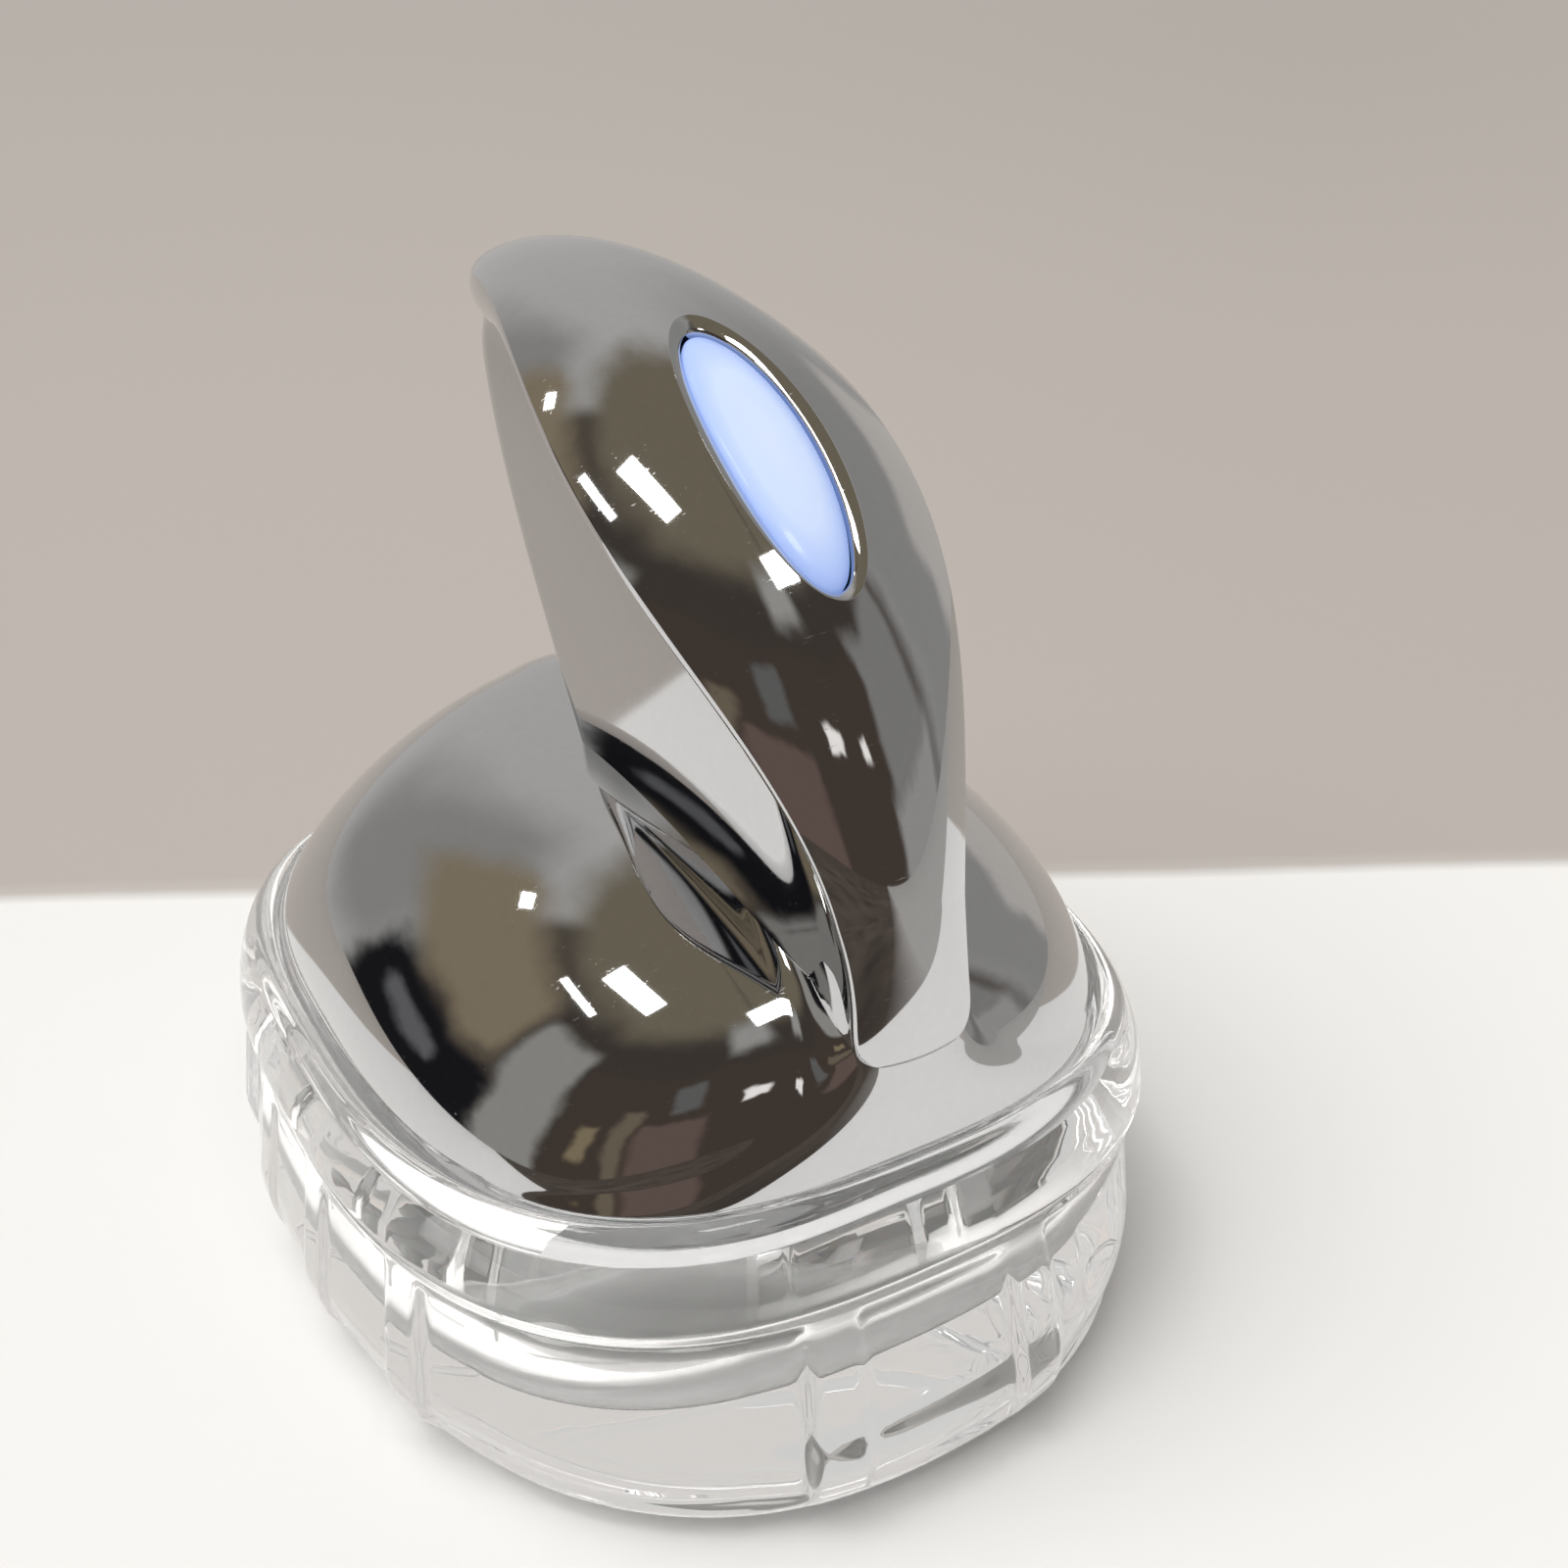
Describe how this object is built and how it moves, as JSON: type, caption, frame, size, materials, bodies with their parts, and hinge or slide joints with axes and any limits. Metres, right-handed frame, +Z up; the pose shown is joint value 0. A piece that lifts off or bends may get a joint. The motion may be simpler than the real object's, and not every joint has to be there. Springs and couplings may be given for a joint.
{
  "type": "scalp massager on a clear stand",
  "caption": "Chrome hook-handled scalp massager with a lit oval button, parked face down on a clear panelled bowl stand; geared kneading heads turn below its base.",
  "frame": {"origin": "centre of the stand's underside", "axes": "+Z up, -Y towards the foot of the handle (front), +X to the right seen from the front"},
  "size_m": [0.108, 0.1198, 0.1241],
  "materials": {
    "chrome": "mirror plated",
    "clear": "clear polished",
    "lens": "milky, lit from behind",
    "dark_plastic": "moulded",
    "circuit_board": "solder mask",
    "battery": "shrink sleeve",
    "white_plastic": "moulded satin",
    "steel": "turned",
    "brass": "turned",
    "gear_nylon": "moulded",
    "seal_rubber": "matt",
    "silicone": "satin silicone"
  },
  "bodies": {
    "stand": {"clear_stand": "clear"},
    "device": {"body_shell": "chrome", "handle_cover": "chrome", "button_bezel": "chrome", "button_housing": "dark_plastic", "button_board": "circuit_board", "button_switch": "dark_plastic", "battery_cradle": "dark_plastic", "battery_pack": "battery", "main_board": "circuit_board", "gear_case": "white_plastic", "motor": "steel", "motor_screws": "steel", "idler_pin": "steel", "sun_pin": "steel", "base_plate": "white_plastic", "base_gasket": "seal_rubber", "shaft_bushes": "brass", "shaft_seals": "seal_rubber", "case_screws": "steel", "charge_socket": "steel"},
    "button": {"power_button": "lens"},
    "pinion": {"motor_pinion": "brass"},
    "idler": {"idler_gear": "gear_nylon"},
    "sun": {"sun_gear": "gear_nylon"},
    "head_1": {"head_gear_1": "gear_nylon", "kneading_head_1": "silicone"},
    "head_2": {"head_gear_2": "gear_nylon", "kneading_head_2": "silicone"},
    "head_3": {"head_gear_3": "gear_nylon", "kneading_head_3": "silicone"},
    "head_4": {"head_gear_4": "gear_nylon", "kneading_head_4": "silicone"}
  },
  "joints": [
    {"name": "lift_off", "type": "slide", "parent": "stand", "child": "device", "axis": [0, 0, 1], "range_m": [0, 0.06]},
    {"name": "button_press", "type": "slide", "parent": "device", "child": "button", "axis": [0, 0.5358, -0.8443], "range_m": [0, 0.0006], "stiffness_N_per_m": 1200, "springref_m": -0.0005},
    {"name": "head_1_spin", "type": "hinge", "parent": "device", "child": "head_1", "pos_m": [-0.02, -0.02303, 0.03], "axis": [0, 0, 1], "continuous": true},
    {"name": "head_2_spin", "type": "hinge", "parent": "device", "child": "head_2", "pos_m": [0.02, -0.02303, 0.03], "axis": [0, 0, 1], "continuous": true},
    {"name": "head_3_spin", "type": "hinge", "parent": "device", "child": "head_3", "pos_m": [0.02, 0.02303, 0.03], "axis": [0, 0, 1], "continuous": true},
    {"name": "head_4_spin", "type": "hinge", "parent": "device", "child": "head_4", "pos_m": [-0.02, 0.02303, 0.03], "axis": [0, 0, 1], "continuous": true},
    {"name": "sun_spin", "type": "hinge", "parent": "device", "child": "sun", "pos_m": [0, 0, 0.04], "axis": [0, 0, 1], "continuous": true},
    {"name": "idler_spin", "type": "hinge", "parent": "device", "child": "idler", "pos_m": [0, 0.021, 0.045], "axis": [0, 0, 1], "continuous": true},
    {"name": "pinion_spin", "type": "hinge", "parent": "device", "child": "pinion", "pos_m": [0, 0, 0.048], "axis": [0, 0, 1], "continuous": true}
  ],
  "couplings": [
    {"joint": "head_2_spin", "follows": "head_1_spin", "ratio": 1},
    {"joint": "head_3_spin", "follows": "head_1_spin", "ratio": 1},
    {"joint": "head_4_spin", "follows": "head_1_spin", "ratio": 1},
    {"joint": "sun_spin", "follows": "head_1_spin", "ratio": -1.2593},
    {"joint": "idler_spin", "follows": "head_1_spin", "ratio": 2.2667},
    {"joint": "pinion_spin", "follows": "head_1_spin", "ratio": -8.3111}
  ]
}
